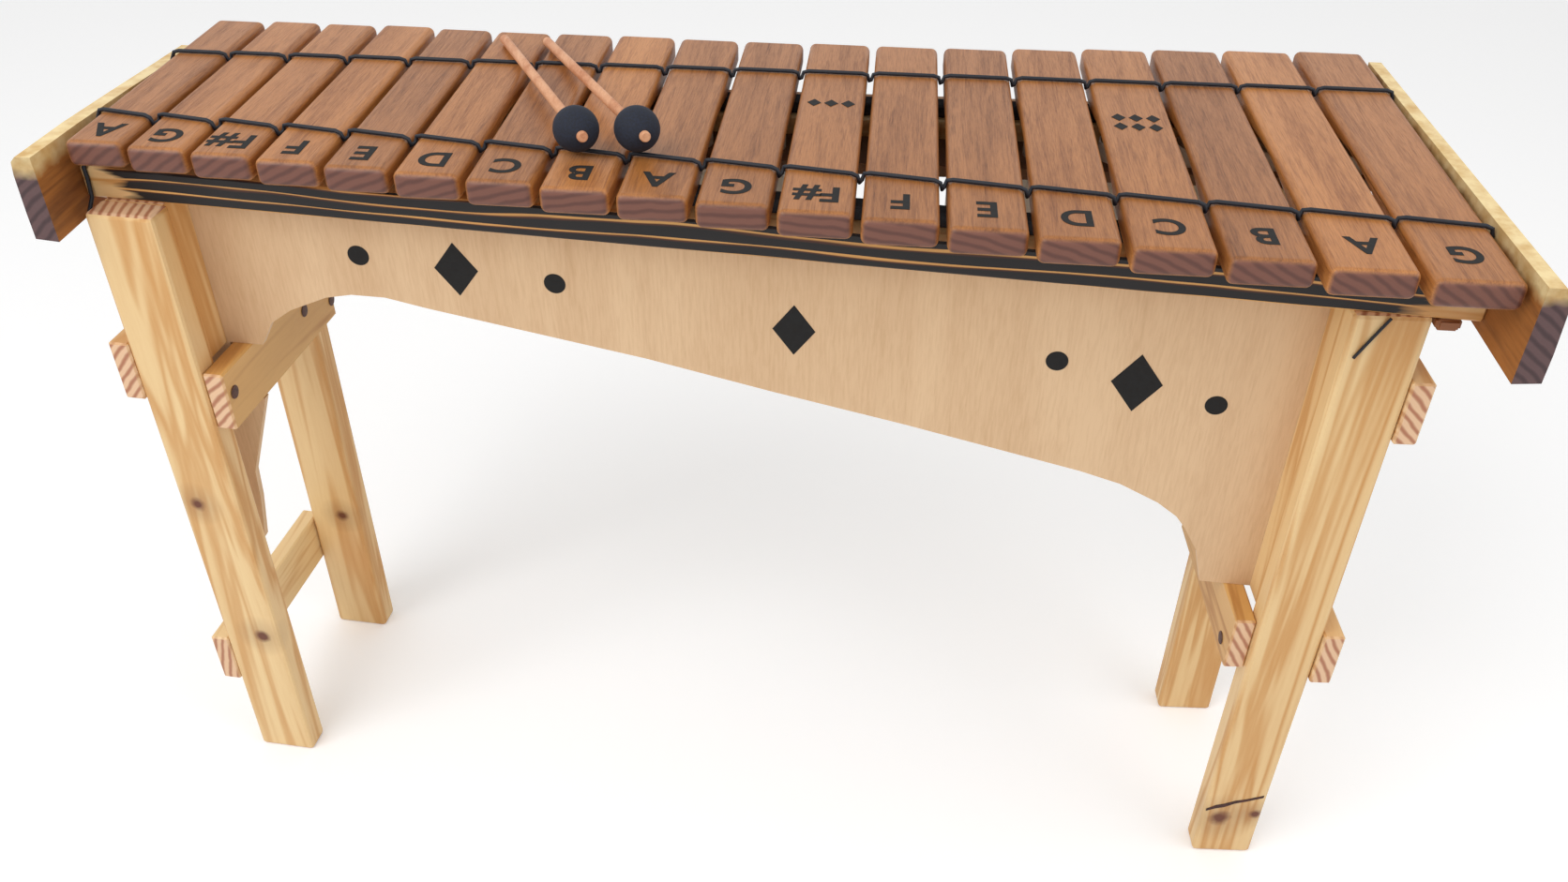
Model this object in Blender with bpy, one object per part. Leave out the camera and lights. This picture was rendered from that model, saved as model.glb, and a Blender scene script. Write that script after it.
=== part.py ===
# Alto marimba: eighteen wooden bars on two rails, tube resonators, a pine stand and two mallets.
# Metres, +Z up. The player stands on the -Y side, the lowest bar is at +X.
import math

import bmesh
import bpy
from mathutils import Vector

# Clearance between pieces that touch
GAP = 0.0003

# Stand: planed pine legs, rails and cross rails
LEG_HEIGHT = 0.755
LEG_WIDTH = 0.069
LEG_THICK = 0.032
LEG_ROUND = 0.0045
TRESTLE_DEPTH = 0.260
RAIL_WIDTH = 0.069
RAIL_THICK = 0.032
CROSS_HEIGHT = 0.069
CROSS_THICK = 0.022
SMALL_ROUND = 0.002

# Each trestle: centre of its front leg's front face, and its turn about Z in degrees
LEFT_TRESTLE = (-0.599, -0.176, -4.5)
RIGHT_TRESTLE = (0.577, -0.237, 2.3)

# End boards' inner faces, and the rails' front faces at those two ends
LEFT_END = -0.645
RIGHT_END = 0.6504
FRONT_RAIL_Y = (-0.1405, -0.2416)
BACK_RAIL_Y = (0.036, 0.083)

# End boards along their length: y, bottom, top, thickness at the bottom and at the live edge
LEFT_BOARD = (
    (-0.203, 0.739, 0.824, 0.022, 0.020), (-0.120, 0.739, 0.822, 0.022, 0.021),
    (-0.030, 0.739, 0.818, 0.0215, 0.020), (0.060, 0.739, 0.813, 0.022, 0.020),
    (0.123, 0.739, 0.810, 0.022, 0.020),
)
RIGHT_BOARD = (
    (-0.320, 0.744, 0.835, 0.024, 0.020), (-0.200, 0.744, 0.832, 0.0235, 0.020),
    (-0.050, 0.744, 0.829, 0.0225, 0.019), (0.060, 0.744, 0.826, 0.023, 0.019),
    (0.200, 0.744, 0.823, 0.0225, 0.019),
)

# Undersides of the battens behind the front legs
BATTEN_BOTTOMS = {"left": 0.5767, "right": 0.3750}

# Bars, from the highest note at the left to the lowest at the right
BAR_LENGTHS = (
    0.334, 0.345, 0.351, 0.362, 0.364, 0.369, 0.378, 0.388, 0.393,
    0.401, 0.413, 0.421, 0.432, 0.449, 0.468, 0.485, 0.502, 0.519,
)
BAR_COUNT = len(BAR_LENGTHS)
BAR_WIDTH_HIGH = 0.054
BAR_WIDTH_LOW = 0.0745
BAR_THICK = 0.026
BAR_SPACE = 0.007
BAR_ROUND = 0.005
FIRST_BAR_X = -0.6031
FRONT_OVERHANG = 0.197
ARCH_DEPTH_HIGH = 0.008
ARCH_DEPTH_LOW = 0.013
ARCH_MARGIN = 0.016
ARCH_STEPS = 6

# Soft rest strips under the bars' nodes
REST_WIDTH = 0.020
REST_HEIGHT = 0.0141
FRONT_REST_INSET = 0.036
BACK_REST_INSET = 0.0165

# Cords that hold the bars down
CORD_RADIUS = 0.002
CORD_DROP = 0.0055
CORD_SLANT = 0.006

# Resonators: quarter-wave stopped tubes under the bars
SPEED_OF_SOUND = 340.0
NOTES_HZ = (
    880.0, 784.0, 740.0, 698.5, 659.3, 587.3, 523.3, 493.9, 440.0,
    392.0, 370.0, 349.2, 329.6, 293.7, 261.6, 246.9, 220.0, 196.0,
)
SMALL_TUBE_RADIUS = 0.020
LARGE_TUBE_RADIUS = 0.025
SMALL_TUBES = 9
TUBE_WALL = 0.002
TUBE_FLOOR = 0.003
TUBE_TOP = 0.785
TUBE_INSET = 0.030
TUBE_SIDES = 18
TUBE_CLEARANCE = 0.0005
RESONATOR_BOARD_THICK = 0.012
RESONATOR_BOARD_DEPTH = 0.068

# Front panel: plywood behind the front legs
PANEL_THICK = 0.009
PANEL_LEFT = -0.626
PANEL_RIGHT = 0.608
PANEL_Y = (-0.1119, -0.1727)
PANEL_Y_AT = (-0.564, 0.543)
NOTCH_CLEARANCE = 0.0015

# Mallets
HEAD_RADIUS = 0.021
STICK_RADIUS = 0.005
STICK_TIP = 0.004
BORE_CLEARANCE = 0.0005
MALLETS = {
    "left": ((-0.1562, -0.1491), (-0.2946, 0.1227)),
    "right": ((-0.1016, -0.1426), (-0.2473, 0.1201)),
}

# Heights worked out from the sizes above
RAIL_BOTTOM = LEG_HEIGHT + GAP
RAIL_TOP = RAIL_BOTTOM + RAIL_THICK
REST_TOP = RAIL_TOP + GAP + REST_HEIGHT
BAR_BOTTOM = REST_TOP + GAP
BAR_TOP = BAR_BOTTOM + BAR_THICK
CORD_Z = BAR_TOP + CORD_RADIUS + GAP
PANEL_TOP = LEG_HEIGHT

# Cross rails: trestle, side of the legs, top height, front and back ends along the trestle
CROSS_RAILS = {
    "cross_rail_left_upper_inner": ("left", "inner", 0.5764, 0.004, 0.246),
    "cross_rail_left_upper_outer": ("left", "outer", 0.6072, 0.0, 0.246),
    "cross_rail_left_lower_outer": ("left", "outer", 0.1875, 0.0, 0.246),
    "cross_rail_right_upper_outer": ("right", "outer", 0.6860, -0.002, 0.244),
    "cross_rail_right_lower_outer": ("right", "outer", 0.3667, -0.003, 0.244),
    "cross_rail_right_lower_inner": ("right", "inner", 0.3740, 0.009, 0.244),
}


def clear_scene():
    for item in list(bpy.data.objects):
        bpy.data.objects.remove(item, do_unlink=True)


def make_material(name, color, roughness, metallic=0.0):
    material = bpy.data.materials.new(name)
    material.use_nodes = True
    shader = material.node_tree.nodes["Principled BSDF"]
    shader.inputs["Base Color"].default_value = (*color, 1.0)
    shader.inputs["Roughness"].default_value = roughness
    shader.inputs["Metallic"].default_value = metallic
    return material


def add_object(name, mesh, material, parent):
    item = bpy.data.objects.new(name, mesh)
    item.data.materials.append(material)
    bpy.context.scene.collection.objects.link(item)
    item.parent = parent
    return item


def mesh_from(bm, name):
    bmesh.ops.recalc_face_normals(bm, faces=bm.faces)
    mesh = bpy.data.meshes.new(name)
    bm.to_mesh(mesh)
    bm.free()
    return mesh


def prism_mesh(name, outline, push):
    # A closed outline of points, pushed along one vector
    bm = bmesh.new()
    face = bm.faces.new([bm.verts.new(point) for point in outline])
    swept = bmesh.ops.extrude_face_region(bm, geom=[face])
    moved = [item for item in swept["geom"] if isinstance(item, bmesh.types.BMVert)]
    bmesh.ops.translate(bm, verts=moved, vec=Vector(push))
    return mesh_from(bm, name)


def box_mesh(name, low, high):
    corners = [
        (low[0], low[1], low[2]), (high[0], low[1], low[2]),
        (high[0], high[1], low[2]), (low[0], high[1], low[2]),
    ]
    return prism_mesh(name, corners, (0.0, 0.0, high[2] - low[2]))


def add_bevel(item, width, segments=1):
    bevel = item.modifiers.new("rounded arrises", "BEVEL")
    bevel.width = width
    bevel.segments = segments
    bevel.limit_method = "ANGLE"
    bevel.angle_limit = math.radians(40.0)
    return bevel


def add_boolean(item, other, operation):
    other.hide_render = True
    other.display_type = "WIRE"
    boolean = item.modifiers.new(operation.lower(), "BOOLEAN")
    boolean.operation = operation
    boolean.solver = "EXACT"
    boolean.object = other
    return boolean


def along(pair, x):
    # Height of a straight plan line over x, between the two end boards
    share = (x - LEFT_END) / (RIGHT_END - LEFT_END)
    return pair[0] + (pair[1] - pair[0]) * share


def panel_y(x):
    share = (x - PANEL_Y_AT[0]) / (PANEL_Y_AT[1] - PANEL_Y_AT[0])
    return PANEL_Y[0] + (PANEL_Y[1] - PANEL_Y[0]) * share


def bar_places():
    # Centre, width, length, front end and back end of every bar
    places = []
    x = FIRST_BAR_X
    last_width = None
    for index, length in enumerate(BAR_LENGTHS):
        share = index / (BAR_COUNT - 1)
        width = BAR_WIDTH_HIGH + (BAR_WIDTH_LOW - BAR_WIDTH_HIGH) * share
        if last_width is not None:
            x += last_width / 2 + BAR_SPACE + width / 2
        front = front_node(x) - FRONT_OVERHANG * length
        places.append((x, width, length, front, front + length))
        last_width = width
    return places


def front_node(x):
    return along(FRONT_RAIL_Y, x) + FRONT_REST_INSET


def back_node(x):
    return along(BACK_RAIL_Y, x) + BACK_REST_INSET


def make_bar(index, place, material, root):
    x, width, length, front, back = place
    share = index / (BAR_COUNT - 1)
    depth = ARCH_DEPTH_HIGH + (ARCH_DEPTH_LOW - ARCH_DEPTH_HIGH) * share
    arch_front = front_node(x) + ARCH_MARGIN
    arch_back = back_node(x) - ARCH_MARGIN
    left = x - width / 2
    outline = [(left, front, BAR_TOP), (left, front, BAR_BOTTOM)]
    for step in range(ARCH_STEPS + 1):
        turn = step / ARCH_STEPS
        y = arch_front + (arch_back - arch_front) * turn
        outline.append((left, y, BAR_BOTTOM + depth * math.sin(math.pi * turn)))
    outline += [(left, back, BAR_BOTTOM), (left, back, BAR_TOP)]
    name = f"bar_{index + 1:02d}"
    bar = add_object(name, prism_mesh(name, outline, (width, 0.0, 0.0)), material, root)
    add_bevel(bar, BAR_ROUND, 2)
    return bar


def make_plank(name, front, width, bottom, top, material, root, round_by=SMALL_ROUND, ends=None):
    # A plank that runs from one end board to the other, or between ends; front is a plan line
    left, right = ends or (LEFT_END + GAP, RIGHT_END - GAP)
    outline = [
        (left, along(front, left), bottom), (right, along(front, right), bottom),
        (right, along(front, right) + width, bottom), (left, along(front, left) + width, bottom),
    ]
    plank = add_object(name, prism_mesh(name, outline, (0.0, 0.0, top - bottom)), material, root)
    if round_by:
        add_bevel(plank, round_by)
    return plank


def shifted(pair, offset):
    return (pair[0] + offset, pair[1] + offset)


def make_end_board(name, inner, outward, stations, material, root):
    # Lofted along Y: every station gives y, bottom, top, thickness at the bottom and at the top
    bm = bmesh.new()
    rings = []
    for y, bottom, top, foot, crown in stations:
        ring = [
            (inner, bottom), (inner + outward * foot, bottom + 0.002),
            (inner + outward * foot, (bottom * 2 + top) / 3),
            (inner + outward * (crown + foot) / 2, top - 0.018),
            (inner + outward * crown * 0.96, top - 0.005),
            (inner + outward * crown * 0.72, top), (inner, top),
        ]
        rings.append([bm.verts.new((x, y, z)) for x, z in ring])
    for first, second in zip(rings, rings[1:]):
        for index in range(len(first)):
            after = (index + 1) % len(first)
            bm.faces.new((first[index], first[after], second[after], second[index]))
    bm.faces.new(rings[0])
    bm.faces.new(rings[-1])
    return add_object(name, mesh_from(bm, name), material, root)


def make_trestle(side, place, material, root):
    empty = bpy.data.objects.new(f"trestle_{side}", None)
    bpy.context.scene.collection.objects.link(empty)
    empty.parent = root
    empty.location = (place[0], place[1], 0.0)
    empty.rotation_euler = (0.0, 0.0, math.radians(place[2]))
    return empty


def make_leg(name, y, empty, material):
    low = (-LEG_WIDTH / 2, y, 0.0)
    high = (LEG_WIDTH / 2, y + LEG_THICK, LEG_HEIGHT)
    leg = add_object(name, box_mesh(name, low, high), material, empty)
    add_bevel(leg, LEG_ROUND, 2)
    return leg


def add_batten(leg, place, bottom, material, root):
    # A wedge glued behind the front leg, whose back face meets the sloping panel
    angle = math.radians(place[2])
    across = Vector((math.cos(angle), math.sin(angle)))
    back = Vector((-math.sin(angle), math.cos(angle)))
    corner = Vector((place[0], place[1]))
    half = LEG_WIDTH / 2 - LEG_ROUND
    near = LEG_THICK - LEG_ROUND / 2
    outline = []
    for side in (-half, half):
        point = corner + across * side + back * near
        outline.append((point.x, point.y, bottom))
    for side in (half, -half):
        base = corner + across * side
        point = base + back * LEG_THICK
        for _ in range(4):
            reach = (panel_y(point.x) - GAP - base.y) / back.y
            point = base + back * reach
        outline.append((point.x, point.y, bottom))
    name = leg.name + "_batten"
    height = LEG_HEIGHT - bottom
    batten = add_object(name, prism_mesh(name, outline, (0.0, 0.0, height)), material, root)
    add_boolean(leg, batten, "UNION")


def make_cross_rail(name, side, face, top, front, back, empty, material):
    inward = 1.0 if side == "left" else -1.0
    sign = inward if face == "inner" else -inward
    near = sign * (LEG_WIDTH / 2 + GAP)
    far = near + sign * CROSS_THICK
    low = (min(near, far), front, top - CROSS_HEIGHT)
    high = (max(near, far), back, top)
    rail = add_object(name, box_mesh(name, low, high), material, empty)
    add_bevel(rail, SMALL_ROUND)
    return rail


def panel_outline():
    # Right foot, slope up to the crest at the left, left foot, notch round the cross rail, tongue
    right_foot = CROSS_RAILS["cross_rail_right_lower_inner"][2] + GAP
    rail_top = CROSS_RAILS["cross_rail_left_upper_inner"][2]
    left_foot = rail_top + GAP
    notch_low = rail_top - CROSS_HEIGHT - NOTCH_CLEARANCE
    angle = math.radians(LEFT_TRESTLE[2])
    reach = LEG_WIDTH / 2 + GAP
    notch_x = LEFT_TRESTLE[0] + reach * math.cos(angle) - 0.062 * math.sin(angle) - NOTCH_CLEARANCE
    slope = [
        (0.491, right_foot), (0.480, 0.416), (0.462, 0.446), (0.451, 0.460), (0.429, 0.476),
        (0.387, 0.496), (0.344, 0.508), (0.161, 0.547), (0.021, 0.574), (-0.108, 0.601),
        (-0.332, 0.639), (-0.377, 0.648), (-0.413, 0.648), (-0.441, 0.642), (-0.483, 0.623),
        (-0.508, 0.605), (-0.524, left_foot),
    ]
    tongue = [
        (notch_x, left_foot), (notch_x, notch_low), (-0.538, notch_low), (-0.575, 0.400),
        (-0.578, 0.360), (-0.587, 0.300), (PANEL_LEFT, 0.300),
    ]
    top = [(PANEL_LEFT, PANEL_TOP), (PANEL_RIGHT, PANEL_TOP), (PANEL_RIGHT, right_foot)]
    return slope + tongue + top


def make_panel(material, root):
    outline = [(x, panel_y(x), z) for x, z in panel_outline()]
    mesh = prism_mesh("front_panel", outline, (0.0, PANEL_THICK, 0.0))
    return add_object("front_panel", mesh, material, root)


def tube_place(index, place):
    radius = SMALL_TUBE_RADIUS if index < SMALL_TUBES else LARGE_TUBE_RADIUS
    length = SPEED_OF_SOUND / (4 * NOTES_HZ[index]) - 0.6 * radius
    return place[0], along(BACK_RAIL_Y, place[0]) - TUBE_INSET, radius, length


def circle(x, y, z, radius, sides):
    points = []
    for step in range(sides):
        angle = 2 * math.pi * step / sides
        points.append((x + radius * math.cos(angle), y + radius * math.sin(angle), z))
    return points


def make_tube(index, place, material, root):
    x, y, radius, length = tube_place(index, place)
    bottom = TUBE_TOP - length
    inner = radius - TUBE_WALL
    bm = bmesh.new()
    levels = [
        (radius, bottom), (radius, TUBE_TOP), (inner, TUBE_TOP), (inner, bottom + TUBE_FLOOR),
    ]
    rings = []
    for ring_radius, z in levels:
        points = circle(x, y, z, ring_radius, TUBE_SIDES)
        rings.append([bm.verts.new(point) for point in points])
    for first, second in zip(rings, rings[1:]):
        for step in range(TUBE_SIDES):
            after = (step + 1) % TUBE_SIDES
            bm.faces.new((first[step], first[after], second[after], second[step]))
    bm.faces.new(rings[0])
    bm.faces.new(rings[-1])
    name = f"resonator_{index + 1:02d}"
    return add_object(name, mesh_from(bm, name), material, root)


def make_resonator_board(places, material, root):
    board = make_plank(
        "resonator_board", shifted(BACK_RAIL_Y, -RESONATOR_BOARD_DEPTH - GAP), RESONATOR_BOARD_DEPTH,
        RAIL_BOTTOM, RAIL_BOTTOM + RESONATOR_BOARD_THICK, material, root, 0.0,
    )
    bm = bmesh.new()
    for index, place in enumerate(places):
        x, y, radius, _ = tube_place(index, place)
        points = circle(x, y, RAIL_BOTTOM - 0.01, radius + TUBE_CLEARANCE, TUBE_SIDES)
        face = bm.faces.new([bm.verts.new(point) for point in points])
        swept = bmesh.ops.extrude_face_region(bm, geom=[face])
        moved = [item for item in swept["geom"] if isinstance(item, bmesh.types.BMVert)]
        bmesh.ops.translate(bm, verts=moved, vec=(0.0, 0.0, RESONATOR_BOARD_THICK + 0.02))
    cutter = add_object("resonator_holes", mesh_from(bm, "resonator_holes"), material, root)
    add_boolean(board, cutter, "DIFFERENCE")
    return board


def cord_points(places, node, slant, left_end, right_end):
    # Over every bar's top, round its arrises and down into each gap
    points = list(left_end)
    corner = BAR_ROUND + CORD_RADIUS + 0.0009
    lift = corner * math.sin(math.pi / 4) - BAR_ROUND
    for index, (x, width, *_rest) in enumerate(places):
        left = x - width / 2
        right = x + width / 2
        y = node(x)
        if index:
            dip = left - BAR_SPACE / 2 + 0.001
            points.append((dip, y + slant, BAR_TOP - CORD_DROP))
        points.append((left - lift, y + slant, BAR_TOP + lift))
        points.append((left + BAR_ROUND, y + slant * 0.7, CORD_Z))
        points.append((right - BAR_ROUND, y - slant * 0.7, CORD_Z))
        points.append((right + lift, y - slant, BAR_TOP + lift))
        if index < BAR_COUNT - 1:
            dip = right + BAR_SPACE / 2 - 0.001
            points.append((dip, y - slant, BAR_TOP - CORD_DROP))
    return points + list(right_end)


def make_cord(name, points, material, root):
    curve = bpy.data.curves.new(name, "CURVE")
    curve.dimensions = "3D"
    curve.bevel_depth = CORD_RADIUS
    curve.bevel_resolution = 1
    curve.use_fill_caps = True
    spline = curve.splines.new("POLY")
    spline.points.add(len(points) - 1)
    for target, point in zip(spline.points, points):
        target.co = (*point, 1.0)
    cord = bpy.data.objects.new(name, curve)
    cord.data.materials.append(material)
    bpy.context.scene.collection.objects.link(cord)
    cord.parent = root
    return cord


def make_cords(places, material, root):
    left_x = LEFT_END + 0.0075
    right_x = RIGHT_END - (RIGHT_END - places[-1][0] - places[-1][1] / 2) / 2
    first_y = front_node(places[0][0]) + CORD_SLANT
    face_y = along(FRONT_RAIL_Y, left_x) - CORD_RADIUS - GAP * 2
    front_left = [
        (left_x, -0.160, 0.7450), (left_x, face_y - 0.002, 0.7580), (left_x, face_y, 0.7750),
        (left_x, face_y, RAIL_TOP), (left_x, face_y + 0.003, RAIL_TOP + 0.004),
        (left_x, first_y - 0.008, 0.7990), (left_x, first_y, 0.8150),
    ]
    last_y = front_node(places[-1][0]) - CORD_SLANT
    front_right = [(right_x, last_y, BAR_TOP - 0.006), (right_x, last_y, RAIL_TOP + 0.003)]
    points = cord_points(places, front_node, CORD_SLANT, front_left, front_right)
    make_cord("front_cord", points, material, root)
    back_y = back_node(places[0][0])
    back_left = [(left_x, back_y, RAIL_TOP + 0.003), (left_x, back_y, 0.8150)]
    back_y = back_node(places[-1][0])
    back_right = [(right_x, back_y, BAR_TOP - 0.006), (right_x, back_y, RAIL_TOP + 0.003)]
    points = cord_points(places, back_node, 0.0, back_left, back_right)
    make_cord("back_cord", points, material, root)


def make_mallet(side, head_place, end_place, stick_material, head_material, root):
    head = Vector((*head_place, CORD_Z + CORD_RADIUS + HEAD_RADIUS + GAP))
    end = Vector((*end_place, 0.0))
    rest_y = back_node(end.x)
    rest_z = CORD_Z + CORD_RADIUS + STICK_RADIUS + GAP
    slope = (rest_z - head.z) / (rest_y - head.y)
    end.z = head.z + slope * (end.y - head.y)
    way = (head - end).normalized()
    tip = head + way * (HEAD_RADIUS + STICK_TIP)
    length = (tip - end).length
    turn = way.to_track_quat("Z", "Y").to_euler()

    bm = bmesh.new()
    bmesh.ops.create_cone(bm, cap_ends=True, segments=12, radius1=STICK_RADIUS,
                          radius2=STICK_RADIUS, depth=length)
    name = f"mallet_stick_{side}"
    stick = add_object(name, mesh_from(bm, name), stick_material, root)
    stick.location = (tip + end) / 2
    stick.rotation_euler = turn

    bm = bmesh.new()
    bmesh.ops.create_uvsphere(bm, u_segments=16, v_segments=10, radius=HEAD_RADIUS)
    name = f"mallet_head_{side}"
    ball = add_object(name, mesh_from(bm, name), head_material, root)
    ball.location = head
    ball.rotation_euler = turn
    bm = bmesh.new()
    bore = STICK_RADIUS + BORE_CLEARANCE
    bmesh.ops.create_cone(bm, cap_ends=True, segments=12, radius1=bore, radius2=bore,
                          depth=HEAD_RADIUS * 3)
    cutter = add_object(name + "_bore", mesh_from(bm, name + "_bore"), head_material, root)
    cutter.location = head
    cutter.rotation_euler = turn
    add_boolean(ball, cutter, "DIFFERENCE")


def centre_on_origin(root):
    # The model's origin is the middle of its box, on the floor
    bpy.context.view_layer.update()
    graph = bpy.context.evaluated_depsgraph_get()
    points = []
    for item in bpy.context.scene.objects:
        if item.type in {"MESH", "CURVE"} and not item.hide_render:
            shape = item.evaluated_get(graph)
            mesh = shape.to_mesh()
            points += [item.matrix_world @ vertex.co for vertex in mesh.vertices]
            shape.to_mesh_clear()
    for axis in (0, 1):
        values = [point[axis] for point in points]
        root.location[axis] = -(min(values) + max(values)) / 2
    bpy.context.view_layer.update()


def build():
    clear_scene()
    bar_wood = make_material("bar_wood", (0.43, 0.16, 0.05), 0.45)
    pine = make_material("pine", (0.79, 0.55, 0.27), 0.55)
    board_wood = make_material("board_wood", (0.45, 0.22, 0.07), 0.5)
    plywood = make_material("plywood", (0.68, 0.45, 0.24), 0.6)
    foam = make_material("foam", (0.05, 0.05, 0.06), 0.9)
    rubber = make_material("cord_rubber", (0.012, 0.02, 0.04), 0.6)
    plastic = make_material("tube_plastic", (0.75, 0.75, 0.72), 0.4)
    stick_wood = make_material("stick_wood", (0.75, 0.45, 0.26), 0.5)
    head_rubber = make_material("head_rubber", (0.01, 0.015, 0.03), 0.8)

    root = bpy.data.objects.new("marimba_frame", None)
    bpy.context.scene.collection.objects.link(root)

    places = bar_places()
    for index, place in enumerate(places):
        make_bar(index, place, bar_wood, root)
        make_tube(index, place, plastic, root)

    make_plank("front_rail", FRONT_RAIL_Y, RAIL_WIDTH, RAIL_BOTTOM, RAIL_TOP, pine, root)
    make_plank("back_rail", BACK_RAIL_Y, RAIL_WIDTH, RAIL_BOTTOM, RAIL_TOP, pine, root)
    rest_bottom = RAIL_TOP + GAP
    rest_ends = (places[0][0] - places[0][1] / 2, places[-1][0] + places[-1][1] / 2)
    front = shifted(FRONT_RAIL_Y, FRONT_REST_INSET - REST_WIDTH / 2)
    make_plank("front_rest_strip", front, REST_WIDTH, rest_bottom, REST_TOP, foam, root,
               ends=rest_ends)
    back = shifted(BACK_RAIL_Y, BACK_REST_INSET - REST_WIDTH / 2)
    make_plank("back_rest_strip", back, REST_WIDTH, rest_bottom, REST_TOP, foam, root,
               ends=rest_ends)
    make_resonator_board(places, plywood, root)

    make_end_board("end_board_left", LEFT_END, -1.0, LEFT_BOARD, board_wood, root)
    make_end_board("end_board_right", RIGHT_END, 1.0, RIGHT_BOARD, board_wood, root)

    trestles = {"left": LEFT_TRESTLE, "right": RIGHT_TRESTLE}
    empties = {}
    for side, place in trestles.items():
        empties[side] = make_trestle(side, place, pine, root)
        front_leg = make_leg(f"leg_front_{side}", 0.0, empties[side], pine)
        make_leg(f"leg_back_{side}", TRESTLE_DEPTH - LEG_THICK, empties[side], pine)
        add_batten(front_leg, place, BATTEN_BOTTOMS[side], pine, root)
    for name, (side, face, top, start, end) in CROSS_RAILS.items():
        make_cross_rail(name, side, face, top, start, end, empties[side], pine)

    make_panel(plywood, root)
    make_cords(places, rubber, root)
    for side, (head_place, end_place) in MALLETS.items():
        make_mallet(side, head_place, end_place, stick_wood, head_rubber, root)
    centre_on_origin(root)


build()
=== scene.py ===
import math
import random

import bmesh
import bpy
from mathutils import Matrix, Vector


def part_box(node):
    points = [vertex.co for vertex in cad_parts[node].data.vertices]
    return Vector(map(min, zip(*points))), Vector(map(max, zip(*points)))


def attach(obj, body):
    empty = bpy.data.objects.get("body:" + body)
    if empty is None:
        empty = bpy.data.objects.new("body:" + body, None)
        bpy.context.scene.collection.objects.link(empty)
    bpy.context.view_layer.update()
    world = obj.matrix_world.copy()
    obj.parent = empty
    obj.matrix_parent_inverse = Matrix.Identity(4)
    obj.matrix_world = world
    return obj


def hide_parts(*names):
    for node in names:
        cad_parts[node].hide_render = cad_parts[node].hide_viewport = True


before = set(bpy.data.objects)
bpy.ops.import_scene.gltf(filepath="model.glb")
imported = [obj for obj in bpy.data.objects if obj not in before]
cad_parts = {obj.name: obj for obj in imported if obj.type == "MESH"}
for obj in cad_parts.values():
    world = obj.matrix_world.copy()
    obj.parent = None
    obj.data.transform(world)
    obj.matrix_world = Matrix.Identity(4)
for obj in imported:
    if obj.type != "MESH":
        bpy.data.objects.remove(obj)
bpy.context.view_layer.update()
print("stage: frame loaded")

scene = bpy.context.scene
scene.view_settings.view_transform = "Standard"

# The photograph's camera, fitted to the bars, the rails and the legs: metres, radians and pixels
camera = {
    "imageSize": (1672.0, 941.0), "focalPixels": 1412.41, "centre": (869.49, 470.24),
    "place": (0.1236, -1.21088, 1.34504), "yaw": 0.053014, "pitch": 0.637773, "roll": 0.0262,
    "sensor": 36.0, "clipEnd": 50.0,
}


def makeCamera(facts):
    yaw, pitch, roll = facts["yaw"], facts["pitch"], facts["roll"]
    level = math.cos(pitch)
    forward = Vector((-math.sin(yaw) * level, math.cos(yaw) * level, -math.sin(pitch)))
    right = Vector((math.cos(yaw), math.sin(yaw), 0.0))
    up = right.cross(forward)
    across = right * math.cos(roll) + up * math.sin(roll)
    upward = up * math.cos(roll) - right * math.sin(roll)
    width, height = facts["imageSize"]
    data = bpy.data.cameras.new("photoCamera")
    data.sensor_width = facts["sensor"]
    data.lens = facts["focalPixels"] * facts["sensor"] / width
    data.shift_x = (width / 2 - facts["centre"][0]) / width
    data.shift_y = (facts["centre"][1] - height / 2) / width
    data.clip_end = facts["clipEnd"]
    item = bpy.data.objects.new("photoCamera", data)
    item.matrix_world = Matrix((
        (across.x, upward.x, -forward.x, facts["place"][0]),
        (across.y, upward.y, -forward.y, facts["place"][1]),
        (across.z, upward.z, -forward.z, facts["place"][2]),
        (0.0, 0.0, 0.0, 1.0),
    ))
    scene.collection.objects.link(item)
    scene.camera = item


makeCamera(camera)


# Colours and shader nodes
def tone(red, green, blue):
    # A colour read as 0 to 255, turned into the linear values that nodes take
    values = []
    for value in (red, green, blue):
        share = value / 255.0
        values.append(share / 12.92 if share <= 0.04045 else ((share + 0.055) / 1.055) ** 2.4)
    return (*values, 1.0)


def link(tree, source, target):
    tree.links.new(source, target)


def addNode(tree, kind, x=0, y=0, **settings):
    node = tree.nodes.new(kind)
    node.location = (x, y)
    for key, value in settings.items():
        setattr(node, key, value)
    return node


def setInputs(node, values):
    for label, value in values.items():
        node.inputs[label].default_value = value


def splitVector(tree, vector, x=0, y=0):
    node = addNode(tree, "ShaderNodeSeparateXYZ", x, y)
    link(tree, vector, node.inputs[0])
    return node.outputs


def mathNode(tree, operation, first, second=None):
    node = addNode(tree, "ShaderNodeMath", operation=operation)
    for socket, value in zip(node.inputs, (first, second)):
        if value is None:
            continue
        if isinstance(value, (int, float)):
            socket.default_value = value
        else:
            link(tree, value, socket)
    return node.outputs[0]


def mixColor(tree, factor, first, second):
    node = addNode(tree, "ShaderNodeMix", data_type="RGBA")
    sockets = (node.inputs[0], node.inputs[6], node.inputs[7])  # factor and the two colours
    for socket, value in zip(sockets, (factor, first, second)):
        if isinstance(value, (int, float, tuple)):
            socket.default_value = value
        else:
            link(tree, value, socket)
    return node.outputs[2]


def newGroup(name, inputs, outputs):
    tree = bpy.data.node_groups.new(name, "ShaderNodeTree")
    for label, kind, value in inputs:
        socket = tree.interface.new_socket(label, in_out="INPUT", socket_type=kind)
        if value is not None:
            socket.default_value = value
    for label, kind in outputs:
        tree.interface.new_socket(label, in_out="OUTPUT", socket_type=kind)
    return tree, addNode(tree, "NodeGroupInput", -900), addNode(tree, "NodeGroupOutput", 900)


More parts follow.
